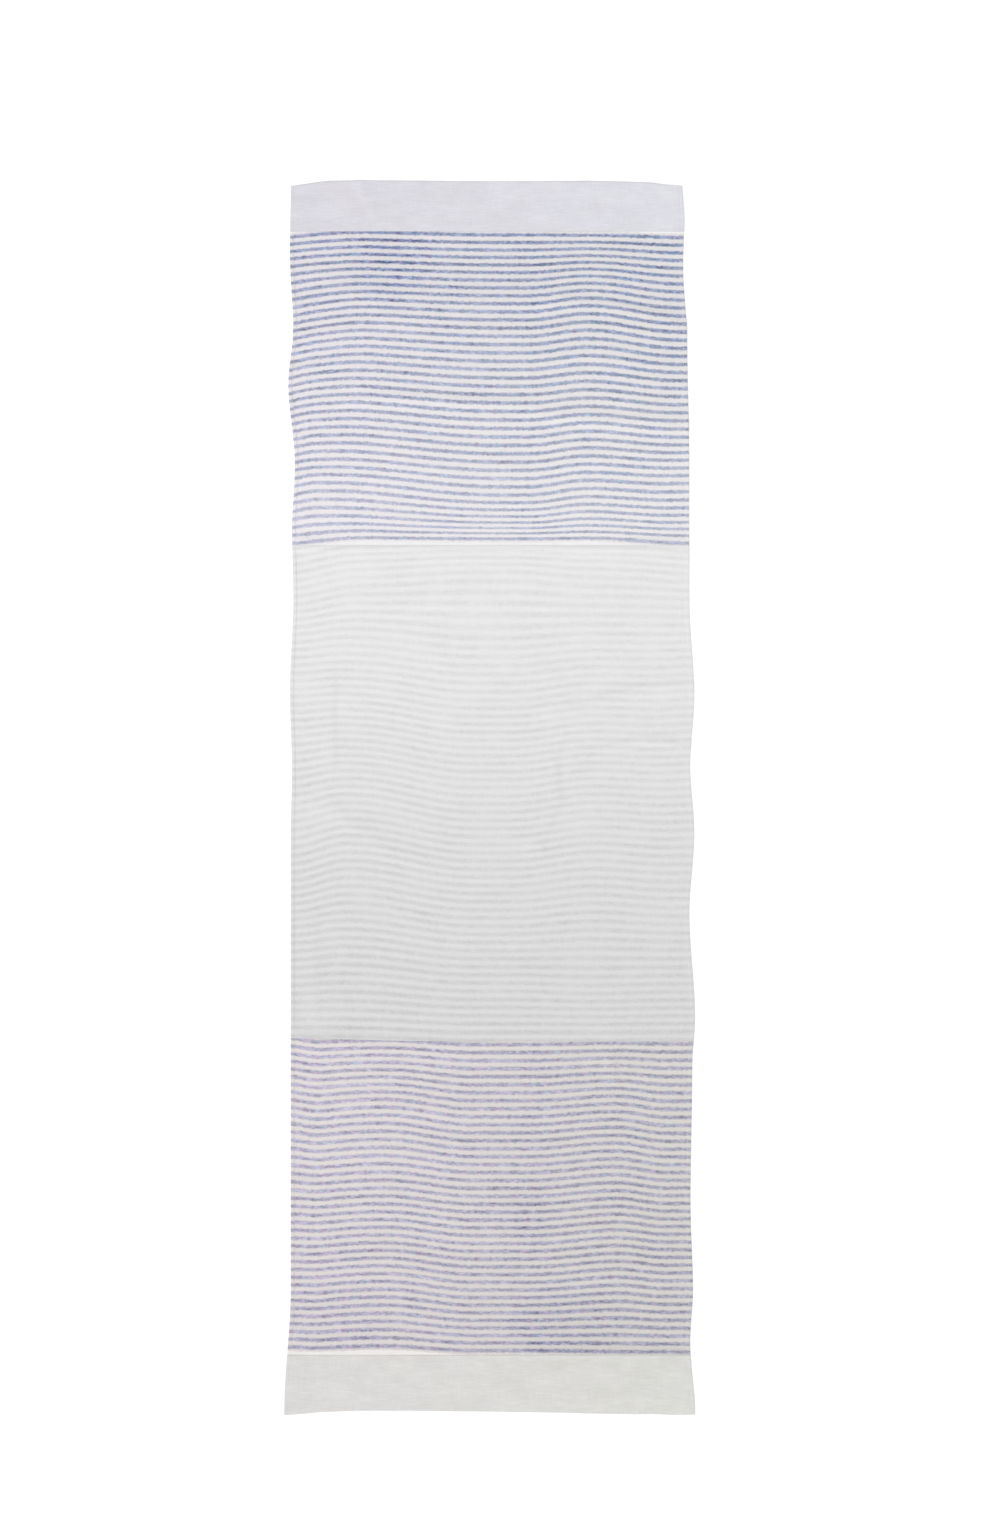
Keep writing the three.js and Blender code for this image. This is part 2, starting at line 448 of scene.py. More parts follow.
def table_relief(x, y, cloth_settings):
    """Height of the cloth's underside over the table."""
    wander = 14 * MM * wave(y, 0.83, 0.6)
    left_ripple = bell(x + 165 * MM + wander, 60 * MM, 95 * MM) * (0.7 + 0.3 * wave(y, 0.61))
    right_ripple = bell(x - 128 * MM - wander, 62 * MM, 62 * MM) * (0.62 + 0.38 * wave(y, 0.47, 2))
    swell = 0.5 + 0.5 * wave(x, 0.37, 1) * wave(y, 0.29)
    high = cloth_settings.ripple_height * (0.6 * left_ripple + 0.5 * right_ripple + 0.4 * swell)
    creased = np.maximum.reduce([crease(x, y, *shape) for shape in CREASES])
    uneven = cloth_settings.crumple_height * (0.5 + 0.5 * crumple(x, y, 37 * MM))
    return TABLE_GAP + high + creased + uneven


def edge_puckers(x, y, from_side, from_seam, cloth_settings):
    """Small gathers that the stitching draws into the cloth, across each hem and seam."""
    along_hem = wave(y, 13 * MM, 3 * crumple(x, y, 90 * MM))
    along_seam = wave(x, 15 * MM, 3 * crumple(y, x, 110 * MM))
    hem_share = fading(from_side - HEM_WIDTH, 16 * MM)
    seam_share = fading(from_seam - 2 * MM, 15 * MM)
    return cloth_settings.pucker_height * (
        0.5 * (1 + along_hem) * hem_share + 0.5 * (1 + along_seam) * seam_share * (1 - hem_share)
    )


def lifted(x, y, from_side, from_seam, cloth_settings):
    """Height over the table, with the gathers."""
    relief = table_relief(x, y, cloth_settings)
    return relief + edge_puckers(x, y, from_side, from_seam, cloth_settings)


def held_down(from_side):
    """The heavier hem keeps the cloth lower: the share of the full height near a side."""
    return 0.45 + 0.55 * eased(from_side / (30 * MM))


# Laying a flat cloth: u runs from its left side, v from its foot end and w from its underside, in metres.


def seam_bow(x, y):
    """How far the bow of the lower seam draws the cloth towards the head end."""
    return LOWER_SEAM_BOW * fading(x + WIDTH / 2, BOW_WIDTH) * fading(np.abs(y - LOWER_SEAM), BOW_REACH)


def lay_panel(panel, u, v, w, cloth_settings):
    """Where the points of a flat panel come to lie, and the place of each on the runner."""
    length = panel.head - panel.foot
    y = panel.foot + v
    left, right = panel.left(y), panel.right(y)
    x = left + (right - left) * u / WIDTH
    y = y + seam_bow(x, y)
    from_side = np.minimum(u, WIDTH - u)
    from_seam = np.minimum(v, length - v)
    gauze = cloth_settings.gauze_thickness
    in_hem = fading(from_side - HEM_WIDTH + HEM_STEP / 4, HEM_STEP)
    in_allowance = fading(from_seam - SEAM_ALLOWANCE, ALLOWANCE_STEP)
    hem = (cloth_settings.hem_thickness - gauze) * in_hem
    turned = (cloth_settings.allowance_thickness - gauze) * in_allowance
    groove = PANEL_GROOVE * bell(from_side - HEM_WIDTH, 0.9 * MM, 0.5 * MM)
    thickness = gauze + np.maximum(hem, turned) - groove
    rise = lifted(x, y, from_side, from_seam, cloth_settings)
    z = rise * held_down(from_side) + w / gauze * thickness
    return np.stack([x, y, z], 1)


def band_profile(band, cloth_settings):
    """(length of a leaf up to the fold, radius of the fold's middle line, length of the whole strip)."""
    radius = (cloth_settings.leaf_gap + cloth_settings.leaf_thickness) / 2
    leaf = band.head - band.foot - radius - cloth_settings.leaf_thickness / 2
    return leaf, radius, 2 * leaf + math.pi * radius


def lay_band(band, u, v, w, cloth_settings):
    """A band is a strip folded double: its lower leaf runs from seam to fold, and its upper leaf back."""
    leaf, radius, strip = band_profile(band, cloth_settings)
    thickness = cloth_settings.leaf_thickness
    turn = np.pi * np.clip((v - leaf) / (np.pi * radius), 0, 1) - np.pi / 2
    run = np.where(v < leaf, v, np.maximum(0, strip - v))
    out = np.where(np.abs(turn) < np.pi / 2, leaf, run) + (radius + w - thickness / 2) * np.cos(turn)
    at, end = band_end(band)
    seam, outward = (band.foot, 1) if band is HEAD_BAND else (band.head, -1)
    straight = seam + outward * out
    left, right = band.left(straight), band.right(straight)
    x = left + (right - left) * u / WIDTH
    reach = outward * MM * smooth_line(END_REACH[band.node], x / MM)
    y = seam + (smooth_line(end, x) + reach - seam) * out / abs(at - seam)
    from_side = np.minimum(u, WIDTH - u)
    groove = BAND_GROOVE * bell(from_side - HEM_WIDTH, 1.4 * MM, 1.4 * MM) * (turn > 0)
    middle = thickness / 2 + radius
    z = middle + (radius + w - thickness / 2) * np.sin(turn) - groove
    rise = lifted(x, y, from_side, np.abs(y - seam), cloth_settings)
    return np.stack([x, y, z + BAND_RISE * rise], 1)


# Building a cloth's mesh


def grid_lines(whole, step, finer):
    """Places of grid lines along a length: even steps, and finer ones where they are asked for."""
    steps = round(whole / step)
    even = [whole * i / steps for i in range(steps + 1)]
    kept = [place for place in even if all(abs(place - other) > 0.4 * MM for other in finer)]
    return sorted(kept + list(finer))


def flat_cloth(columns, rows, thickness):
    """A flat, closed piece of cloth with round edges, with its grid lines at the given places."""
    bm = bmesh.new()
    bmesh.ops.create_grid(bm, x_segments=len(columns) - 1, y_segments=len(rows) - 1, size=0.5)
    for vertex in bm.verts:
        column = round((vertex.co.x + 0.5) * (len(columns) - 1))
        row = round((vertex.co.y + 0.5) * (len(rows) - 1))
        vertex.co = (columns[column], rows[row], 0)
    raised = bmesh.ops.extrude_face_region(bm, geom=bm.faces[:], use_keep_orig=True)
    top = [item for item in raised["geom"] if isinstance(item, bmesh.types.BMVert)]
    bmesh.ops.translate(bm, vec=(0, 0, thickness), verts=top)
    bmesh.ops.recalc_face_normals(bm, faces=bm.faces[:])
    bm.normal_update()
    rim = [e for e in bm.edges if is_rim(e)]
    bmesh.ops.bevel(
        bm, geom=rim, offset=0.45 * thickness, segments=3, profile=0.5, affect="EDGES", material=-1
    )
    return bm


def mesh_from(bm, name):
    """A mesh made from the bmesh, which is then let go."""
    mesh = bpy.data.meshes.new(name)
    bm.to_mesh(mesh)
    bm.free()
    return mesh


def new_object(name, data):
    """A new object in the scene."""
    made = bpy.data.objects.new(name, data)
    bpy.context.scene.collection.objects.link(made)
    return made


def is_rim(edge):
    """True for an edge between the top or the underside and the wall round it."""
    flat = [abs(face.normal.z) > 0.5 for face in edge.link_faces]
    return len(flat) == 2 and flat[0] != flat[1]


def mirrored(distances, whole):
    """Distances from both ends of a length, in metres."""
    return [0.0, whole] + [d * MM for d in distances] + [whole - d * MM for d in distances]


def finish_cloth(cloth, bm, lay, weft_place, cloth_settings, material):
    """Lays the flat cloth, gives it its two maps, and puts it in place of the CAD solid, which it hides;
    only the centre panel is handed to its body.
    """
    flat = np.array([v.co for v in bm.verts], float)
    laid = lay(cloth, flat[:, 0], flat[:, 1], flat[:, 2], cloth_settings)
    for vertex, place in zip(bm.verts, laid):
        vertex.co = place
    bmesh.ops.recalc_face_normals(bm, faces=bm.faces[:])
    mesh = mesh_from(bm, cloth.node + "_cloth")
    mesh.shade_smooth()
    add_map(mesh, "Weave", np.stack([flat[:, 0], weft_place(flat, laid)], 1))
    add_map(mesh, "Place", laid[:, :2])
    mesh.materials.append(material)
    piece = new_object(cloth.node + "_cloth", mesh)
    join_to_frame(piece, cloth)
    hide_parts(cloth.node)
    return piece


def add_map(mesh, name, places):
    """A UV map that holds one place for each vertex, in metres."""
    corners = np.zeros(len(mesh.loops), np.int32)
    mesh.loops.foreach_get("vertex_index", corners)
    layer = mesh.uv_layers.new(name=name)
    layer.uv.foreach_set("vector", places[corners].astype(np.float32).ravel())


def join_to_frame(piece, cloth):
    """The centre panel rides on its body. The others stay where they are laid, with their placing baked
    into the mesh.
    """
    if cloth is CENTRE_PANEL:
        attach(piece, cloth.body)
        return
    joint = joint_of(cloth.body)
    fold = Vector(joint["pos_m"])
    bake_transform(piece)


def make_panel(panel, material, cloth_settings):
    """A striped panel: one layer of gauze, hemmed along its sides and turned under at its seams."""
    length = panel.head - panel.foot
    columns = grid_lines(WIDTH, cloth_settings.grid_step, mirrored(HEM_COLUMNS, WIDTH))
    rows = grid_lines(length, cloth_settings.grid_step, mirrored(SEAM_ROWS, length))
    bm = flat_cloth(columns, rows, cloth_settings.gauze_thickness)

    def weft_place(flat, laid):
        along = length - flat[:, 1] - seam_bow(laid[:, 0], panel.foot + flat[:, 1])
        return along + sum(ripple.lift(laid[:, 0], along) for ripple in panel.ripples)

    return finish_cloth(panel, bm, lay_panel, weft_place, cloth_settings, material)


def make_band(band, material, cloth_settings):
    """A plain band: one strip folded double, with its two ends at the seam."""
    leaf, radius, strip = band_profile(band, cloth_settings)
    round_fold = [leaf + math.pi * radius * i / FOLD_ROWS for i in range(FOLD_ROWS + 1)]
    columns = grid_lines(WIDTH, cloth_settings.grid_step, mirrored(HEM_COLUMNS, WIDTH))
    rows = grid_lines(strip, cloth_settings.grid_step, mirrored(SEAM_ROWS[:8], strip) + round_fold)
    bm = flat_cloth(columns, rows, cloth_settings.leaf_thickness)
    return finish_cloth(band, bm, lay_band, lambda flat, laid: flat[:, 1], cloth_settings, material)


# Materials


class Nodes:
    """Adds nodes to a tree; a socket or a plain value may stand for any input."""

    def __init__(self, tree):
        self.tree = tree

    def add(self, kind, **settings):
        node = self.tree.nodes.new(kind)
        for name, value in settings.items():
            setattr(node, name, value)
        return node

    def feed(self, socket, value):
        if isinstance(value, bpy.types.NodeSocket):
            self.tree.links.new(value, socket)
        elif value is not None:
            socket.default_value = value

    def math(self, operation, first, second=None):
        node = self.add("ShaderNodeMath", operation=operation)
        for socket, value in zip(node.inputs, (first, second)):
            self.feed(socket, value)
        return node.outputs[0]

    def plus(self, first, second):
        return self.math("ADD", first, second)

    def minus(self, first, second):
        return self.math("SUBTRACT", first, second)

    def times(self, first, second):
        return self.math("MULTIPLY", first, second)

    def over(self, first, second):
        return self.math("DIVIDE", first, second)

    def span(self, value, low, high, to_low=0.0, to_high=1.0, smooth=True):
        kind = "SMOOTHSTEP" if smooth else "LINEAR"
        node = self.add("ShaderNodeMapRange", interpolation_type=kind)
        for socket, given in zip(node.inputs, (value, low, high, to_low, to_high)):
            self.feed(socket, given)
        return node.outputs[0]

    def even(self, value, to_low, to_high):
        """A value from 0 to 1, spread evenly over another range."""
        return self.span(value, 0.0, 1.0, to_low, to_high, smooth=False)

    def colour_mix(self, share, first, second, blend="MIX", clamp=True):
        node = self.add("ShaderNodeMix", data_type="RGBA", blend_type=blend, clamp_factor=clamp)
        self.feed(node.inputs[0], share)
        self.feed(node.inputs[6], first)
        self.feed(node.inputs[7], second)
        return node.outputs[2]

    def fill(self, node, **values):
        """Feeds a node's inputs by their names, with _ for a space."""
        for name, value in values.items():
            self.feed(node.inputs[name.replace("_", " ")], value)
        return node.outputs

    def group(self, tree, **values):
        return self.fill(self.add("ShaderNodeGroup", node_tree=tree), **values)

    def bumped(self, height, strength, distance):
        bump = self.add("ShaderNodeBump")
        return self.fill(bump, Height=height, Strength=strength, Distance=distance)[0]

    def split(self, vector):
        node = self.add("ShaderNodeSeparateXYZ")
        self.feed(node.inputs[0], vector)
        return node.outputs

    def join(self, x, y, z=0.0):
        node = self.add("ShaderNodeCombineXYZ")
        for socket, value in zip(node.inputs, (x, y, z)):
            self.feed(socket, value)
        return node.outputs[0]


def new_group(name, inputs, outputs):
    """A shader group with float sockets, and a vector socket for Map: the group, and what fills it."""
    tree = bpy.data.node_groups.new(name, "ShaderNodeTree")
    for socket, default in inputs.items():
        kind = "NodeSocketVector" if socket == "Map" else "NodeSocketFloat"
        made = tree.interface.new_socket(name=socket, in_out="INPUT", socket_type=kind)
        if default is not None:
            made.default_value = default
    for socket in outputs:
        tree.interface.new_socket(name=socket, in_out="OUTPUT", socket_type="NodeSocketFloat")
    nodes = Nodes(tree)
    return tree, nodes, nodes.add("NodeGroupInput").outputs, nodes.add("NodeGroupOutput").inputs


def weft_streaks_group():
    """Long thin streaks along the weft, from uneven yarn: 0 to 1 around a half."""
    tree, nodes, given, out = new_group(
        "Weft streaks", {"Map": None, "Length": 0.03, "Thickness": 0.001, "Seed": 0.0}, ["Value"]
    )
    u, v, _ = nodes.split(given["Map"])
    place = nodes.join(nodes.over(u, given["Length"]), nodes.over(v, given["Thickness"]))
    noise = nodes.add("ShaderNodeTexNoise", noise_dimensions="4D")
    noise = nodes.fill(noise, Vector=place, W=given["Seed"], Scale=1.0, Detail=2.0, Roughness=0.6)
    nodes.feed(out["Value"], nodes.span(noise[0], 0.32, 0.68, smooth=False))
    return tree


def plain_weave_group():
    """Warp and weft yarns that pass over and under each other: their height, and the gaps between."""
    inputs = {"Map": None, "Yarn Width": 0.0007}
    tree, nodes, given, out = new_group("Plain weave", inputs, ["Height", "Gap"])
    u, v, _ = nodes.split(given["Map"])
    across = nodes.over(u, given["Yarn Width"])
    along = nodes.over(v, given["Yarn Width"])
    warp = nodes.math("ABSOLUTE", nodes.math("SINE", nodes.times(across, math.pi)))
    weft = nodes.math("ABSOLUTE", nodes.math("SINE", nodes.times(along, math.pi)))
    cell = nodes.plus(nodes.math("FLOOR", across), nodes.math("FLOOR", along))
    weft_over = nodes.math("PINGPONG", cell, 1.0)
    over = nodes.times(weft, nodes.plus(0.6, nodes.times(warp, 0.4)))
    under = nodes.times(warp, nodes.plus(0.6, nodes.times(weft, 0.4)))
    picked = nodes.add("ShaderNodeMix", data_type="FLOAT")
    nodes.feed(picked.inputs[0], weft_over)
    nodes.feed(picked.inputs[2], under)
    nodes.feed(picked.inputs[3], over)
    nodes.feed(out["Height"], picked.outputs[0])
    nodes.feed(out["Gap"], nodes.minus(1.0, nodes.math("MAXIMUM", warp, weft)))
    return tree


def weft_stripes_group():
    """Stripes of coloured weft: how much of the colour shows, the stripe's number, and where they are."""
    inputs = {
        "Place": 0.0,
        "First": 0.004,
        "Pitch": 0.01,
        "Count": 40.0,
        "Dark Share": 0.4,
        "Softness": 0.06,
    }
    tree, nodes, given, out = new_group("Weft stripes", inputs, ["Stripe", "Number", "Inside"])
    turns = nodes.over(nodes.minus(given["Place"], given["First"]), given["Pitch"])
    number = nodes.math("ROUND", turns)
    from_middle = nodes.math("ABSOLUTE", nodes.minus(turns, number))
    half = nodes.times(given["Dark Share"], 0.5)
    low, high = nodes.minus(half, given["Softness"]), nodes.plus(half, given["Softness"])
    dark = nodes.span(from_middle, low, high, 1.0, 0.0)
    begun = nodes.math("GREATER_THAN", number, -0.5)
    ended = nodes.math("LESS_THAN", number, nodes.minus(given["Count"], 0.5))
    inside = nodes.times(begun, ended)
    nodes.feed(out["Stripe"], nodes.times(dark, inside))
    nodes.feed(out["Number"], number)
    nodes.feed(out["Inside"], inside)
    return tree


def shared_group(make):
    """The group of this name if it is there already, or a new one."""
    name = {
        weft_streaks_group: "Weft streaks",
        plain_weave_group: "Plain weave",
        weft_stripes_group: "Weft stripes",
    }
    return bpy.data.node_groups.get(name[make]) or make()


def uv_map(nodes, name):
    return nodes.add("ShaderNodeUVMap", uv_map=name).outputs[0]


def cloth_shader(material, nodes, colour, height, roughness):
    """The shader of all the cloths: matt, with a faint sheen of fibre ends."""
    shader = material.node_tree.nodes["Principled BSDF"]
    normal = nodes.bumped(height, 0.45, 0.12 * MM)
    nodes.fill(shader, Base_Color=colour, Roughness=roughness, Normal=normal)
    nodes.fill(shader, Sheen_Weight=0.12, Sheen_Roughness=0.6, Specular_IOR_Level=0.25)


def new_material(name):
    material = bpy.data.materials.new(name)
    material.use_nodes = True
    return material, Nodes(material.node_tree)


def rgba(colour):
    return tuple(colour) + (1.0,)


def tinted(colour, red, green, blue):
    return tuple(min(1.0, channel * by) for channel, by in zip(colour, (red, green, blue)))


def streaks(nodes, cloth_map, length, thickness, seed):
    return nodes.group(
        shared_group(weft_streaks_group), Map=cloth_map, Length=length, Thickness=thickness, Seed=seed
    )["Value"]


def yarn_detail(nodes, weave_map, yarn_width, slub_strength):
    """(painted shade in the gaps between the yarns and lightness along their slubs, height for the bump,
    the slubs).
    """
    weave = nodes.group(shared_group(plain_weave_group), Map=weave_map, Yarn_Width=yarn_width)
    fine = streaks(nodes, weave_map, 0.018, 0.0014, 3.0)
    broad = streaks(nodes, weave_map, 0.05, 0.009, 8.0)
    u, v, _ = nodes.split(weave_map)
    warp = streaks(nodes, nodes.join(v, u), 0.02, 0.0016, 14.0)
    slub = nodes.plus(nodes.times(fine, 0.5), nodes.times(broad, 0.25))
    slub = nodes.plus(slub, nodes.times(warp, 0.25))
    light = nodes.even(slub, 1.0 - slub_strength, 1.0 + slub_strength)
    # painted shade in the gaps between the yarns
    shade_by = nodes.minus(light, nodes.times(weave["Gap"], 0.16))
    height = nodes.plus(weave["Height"], nodes.times(fine, 0.6))
    return shade_by, height, slub


def shaded(nodes, colour, amount):
    node = nodes.add("ShaderNodeVectorMath", operation="SCALE")
    nodes.feed(node.inputs[0], colour)
    nodes.feed(node.inputs["Scale"], amount)
    return node.outputs[0]


def drifting(nodes, x, colour, left, right):
    """A colour with one tint at the left side and another at the right."""
    to_right = nodes.span(x, -WIDTH / 2, WIDTH / 2)
    return nodes.colour_mix(to_right, rgba(tinted(colour, *left)), rgba(tinted(colour, *right)))


def heathered(nodes, colour, weave_map, number, look):
    """Stripe yarn of mixed fibres: lighter and darker, more violet and more blue, never twice alike."""
    long_patch = streaks(nodes, weave_map, 0.013, 0.0042, 5.0)
    yarns = streaks(nodes, weave_map, 0.005, 0.0011, 6.0)
    each = nodes.add("ShaderNodeTexWhiteNoise", noise_dimensions="1D")
    nodes.feed(each.inputs["W"], number)
    uneven = nodes.plus(nodes.times(long_patch, 0.5), nodes.times(yarns, 0.5))
    uneven = nodes.plus(uneven, nodes.times(each.outputs["Value"], 0.12))
    strength = look["heather"]
    light = nodes.span(uneven, 0.11, 1.01, 1.0 - strength, 1.0 + strength, smooth=False)
    wide_hue = streaks(nodes, weave_map, 0.012, 0.006, 7.0)
    fine_hue = streaks(nodes, weave_map, 0.005, 0.0016, 9.0)
    hue = nodes.times(nodes.plus(wide_hue, fine_hue), 0.5)
    violet = (1 + look["hue"], 1 - look["hue"] * 0.5, 1.0, 1.0)
    blue = (1 - look["hue"], 1 + look["hue"] * 0.5, 1.0, 1.0)
    tint = nodes.colour_mix(hue, violet, blue)
    colour = nodes.colour_mix(1.0, colour, tint, blend="MULTIPLY")
    return shaded(nodes, colour, light)


def dense_patches(nodes, x, y, patches):
    """Where the coloured weft is packed: soft spots (x, y, reach across, reach along, strength)."""
    total = 0.0
    for at_x, at_y, reach_x, reach_y, strength in patches:
        away_x = nodes.over(nodes.minus(x, at_x * MM), reach_x * MM)
        away_y = nodes.over(nodes.minus(y, at_y * MM), reach_y * MM)
        away = nodes.plus(nodes.times(away_x, away_x), nodes.times(away_y, away_y))
        total = nodes.plus(total, nodes.span(away, 0.0, 1.0, strength, 0.0))
    return total


def striped_cloth(name, ground, stripe, selvedge, layout, look):
    """Gauze with coloured weft stripes. look says how its colours drift, how painted light and shade
    change from head to foot where the light falls off, and how uneven they are.
    """
    material, nodes = new_material(name)
    weave_map, place_map = uv_map(nodes, "Weave"), uv_map(nodes, "Place")
    u, weft, _ = nodes.split(weave_map)
    x, y, _ = nodes.split(place_map)
    to_foot = nodes.span(y, look["head"], look["foot"], smooth=False)

    wobble = nodes.minus(streaks(nodes, weave_map, 0.005, 0.004, 1.0), 0.5)
    place = nodes.plus(weft, nodes.times(wobble, WEFT_WOBBLE))
    stripes = nodes.group(shared_group(weft_stripes_group), Place=place, **layout)

    ground_colour = drifting(nodes, x, ground, look["left_ground"], look["right_ground"])
    stripe_colour = drifting(nodes, x, stripe, look["left_stripe"], look["right_stripe"])
    stripe_colour = heathered(nodes, stripe_colour, weave_map, stripes["Number"], look)

    warp = streaks(nodes, nodes.join(weft, u), 0.045, 0.002, 2.0)
    cloud = streaks(nodes, weave_map, 0.055, 0.04, 4.0)
    strength = nodes.even(to_foot, *look["stripe_strength"])
    strength = nodes.plus(strength, nodes.even(warp, -0.12, 0.12))
    strength = nodes.plus(strength, nodes.even(cloud, -look["cloud"], look["cloud"]))
    dense = dense_patches(nodes, x, y, look["patches"])
    strength = nodes.plus(strength, nodes.times(dense, 0.6))
    share = nodes.times(stripes["Stripe"], strength)
    colour = nodes.colour_mix(share, ground_colour, stripe_colour, clamp=False)

    band = streaks(nodes, weave_map, 0.4, 0.018, 11.0)
    bands = nodes.span(band, 0.0, 1.0, 1 - look["bands"], 1 + look["bands"])
    # Painted light and shade: lighter or darker from head to foot, where the light falls off over the
    # runner, with random crosswise bands of tone.
    light = nodes.times(bands, nodes.span(to_foot, 0.0, 1.0, *look["light"]))
    light = nodes.times(light, nodes.minus(1.0, nodes.times(dense, 0.12)))
    colour = shaded(nodes, colour, light)
    colour = nodes.colour_mix(stripes["Inside"], rgba(selvedge), colour)

    shade_by, height, slub = yarn_detail(nodes, weave_map, PANEL_YARN_WIDTH, look["slub"])
    roughness = nodes.even(slub, 0.98, 0.86)
    cloth_shader(material, nodes, shaded(nodes, colour, shade_by), height, roughness)
    return material


def plain_cloth(name, colour, left, right, slub_strength):
    """Plain band cloth with slubs along the weft and a faint drift of tint from side to side."""
    material, nodes = new_material(name)
    weave_map, place_map = uv_map(nodes, "Weave"), uv_map(nodes, "Place")
    x, _, _ = nodes.split(place_map)
    base = drifting(nodes, x, colour, left, right)
    patch = streaks(nodes, weave_map, 0.06, 0.03, 12.0)
    cooler = rgba(tinted(colour, 0.985, 0.985, 1.02))
    base = nodes.colour_mix(nodes.times(patch, 0.6), base, cooler)
    shade_by, height, slub = yarn_detail(nodes, weave_map, BAND_YARN_WIDTH, slub_strength)
    cloud = nodes.even(streaks(nodes, weave_map, 0.05, 0.022, 13.0), -0.03, 0.03)
    shade_by = nodes.plus(shade_by, cloud)
    roughness = nodes.even(slub, 0.98, 0.86)
    cloth_shader(material, nodes, shaded(nodes, base, shade_by), height, roughness)
    return material


def thread_material(colour):
    """Spun sewing thread with its twist, and painted shade in the grooves of the twist."""
    material, nodes = new_material("Sewing thread")
    twist = nodes.add("ShaderNodeTexWave", wave_type="BANDS", bands_direction="DIAGONAL")
    twist = nodes.fill(twist, Vector=uv_map(nodes, "Twist"), Scale=4.0)["Fac"]
    shader = material.node_tree.nodes["Principled BSDF"]
    # painted shade in the grooves of the twist
    tone = shaded(nodes, tuple(colour), nodes.even(twist, 0.86, 1.0))
    nodes.fill(shader, Base_Color=tone, Normal=nodes.bumped(twist, 0.4, 0.05 * MM))
    nodes.fill(shader, Roughness=0.7, Sheen_Weight=0.1)
    return material


# Stitching


def one_stitch(stitches):
    """A short length of thread along Z, flattened at its tips, that dips towards -Y at both ends."""
    half_length, radius = stitches.stitch_length / 2, stitches.thread_thickness / 2
    bm = bmesh.new()
    bmesh.ops.create_uvsphere(bm, u_segments=stitches.sides, v_segments=6, radius=1, calc_uvs=False)
    twist = bm.loops.layers.uv.new("Twist")
    for face in bm.faces:
        for loop in face.loops:
            co = loop.vert.co
            loop[twist].uv = (math.atan2(co.y, co.x) / (2 * math.pi), co.z)
    for vertex in bm.verts:
        along = vertex.co.z
        fuller = (1 - along**4) ** 0.5 / max(0.2, (1 - along * along) ** 0.5)
        vertex.co.x *= fuller * radius
        vertex.co.y *= fuller * radius
        vertex.co.y -= 0.6 * radius * along * along
        vertex.co.z *= half_length
    bmesh.ops.recalc_face_normals(bm, faces=bm.faces[:])
    return mesh_from(bm, "one_stitch")


def stitch_row(name, places, stitches, material):
    """A row of stitches, one at each (point, direction)."""
    pattern = one_stitch(stitches)
    bm = bmesh.new()
    for point, direction in places:
        aside = Vector((0, 0, 1)).cross(direction).normalized()
        turn = Matrix((aside, direction.cross(aside), direction)).transposed().to_4x4()
        stitch = pattern.copy()
        stitch.transform(Matrix.Translation(point) @ turn)
        bm.from_mesh(stitch)
        bpy.data.meshes.remove(stitch)
    bpy.data.meshes.remove(pattern)
    mesh = mesh_from(bm, name)
    mesh.shade_smooth()
    mesh.materials.append(material)
    piece = new_object(name, mesh)
    return piece


def places_along(points, pitch):
    """(point, direction) at even steps along a line of points."""
    points = [Vector(p) for p in points]
    return [
        ((a + b) / 2, (b - a).normalized())
        for a, b in zip(points[:-1], points[1:])
        if (b - a).length > 0.5 * pitch
    ]


def hem_places(cloth, left, cloth_settings, stitches):
    """Where the stitches of one side's hem lie on the cloth's top."""
    if cloth in BANDS:
        lay, thickness = lay_band, cloth_settings.leaf_thickness
        leaf, _, strip = band_profile(cloth, cloth_settings)
        start, stop = strip - leaf + FOLD_STITCH_MARGIN, strip - SHORT_OF_SEAM
    else:
        lay, thickness = lay_panel, cloth_settings.gauze_thickness
        start, stop = SHORT_OF_SEAM, cloth.head - cloth.foot - SHORT_OF_SEAM
    count = round((stop - start) / stitches.stitch_pitch)
    v = np.linspace(start, stop, count + 1)
    u = np.full_like(v, HEM_WIDTH if left else WIDTH - HEM_WIDTH)
    points = lay(cloth, u, v, np.full_like(v, thickness), cloth_settings)
    points[:, 2] += 0.25 * stitches.thread_thickness
    return places_along(points, stitches.stitch_pitch)


def seam_places(seam_y, cloth_settings, stitches):
    """Where the stitches of a seam lie, in the groove between the two cloths."""
    panel = next(p for p in PANELS if abs(p.head_seam - seam_y) < MM or abs(p.foot_seam - seam_y) < MM)
    left, right = panel.left(np.array([seam_y]))[0], panel.right(np.array([seam_y]))[0]
    start, stop = left + SEAM_STITCH_MARGIN, right - SEAM_STITCH_MARGIN
    count = round((stop - start) / stitches.stitch_pitch)
    x = np.linspace(start, stop, count + 1)
    y = seam_y + seam_bow(x, np.full_like(x, seam_y))
    from_side = np.minimum(x - left, right - x)
    rise = lifted(x, y, from_side, np.zeros_like(x), cloth_settings)
    z = rise * held_down(from_side) + 0.8 * cloth_settings.allowance_thickness
    return places_along(np.stack([x, y, z], 1), stitches.stitch_pitch)


# Operators


def settings(context):
    scene = context.scene
    return scene.runner_cloth, scene.runner_dyes, scene.runner_stitches, scene.runner_stage


def look_of(panel, **changes):
    """How colours drift over a panel: painted light and shade from head to foot where the light falls
    off, tints from left to right, unevenness.
    """
    undyed = (1.0, 1.0, 1.0)
    look = {
        "head": panel.head,
        "foot": panel.foot,
        "left_ground": undyed,
        "right_ground": undyed,
        "left_stripe": undyed,
        "right_stripe": undyed,
        "hue": 0.0,
        # painted light and shade: lightness at the head end and at the foot end, where the light falls
        # off
        "light": (1.0, 1.0),
        "stripe_strength": (1.0, 1.0),
        "cloud": 0.1,
        "bands": 0.015,
        "patches": [],
        "heather": 0.2,
        "slub": 0.06,
    }
    look.update(changes)
    return look


class RunnerPieceOperator:
    """What the operators of this add-on share."""

    bl_options = {"REGISTER", "UNDO"}


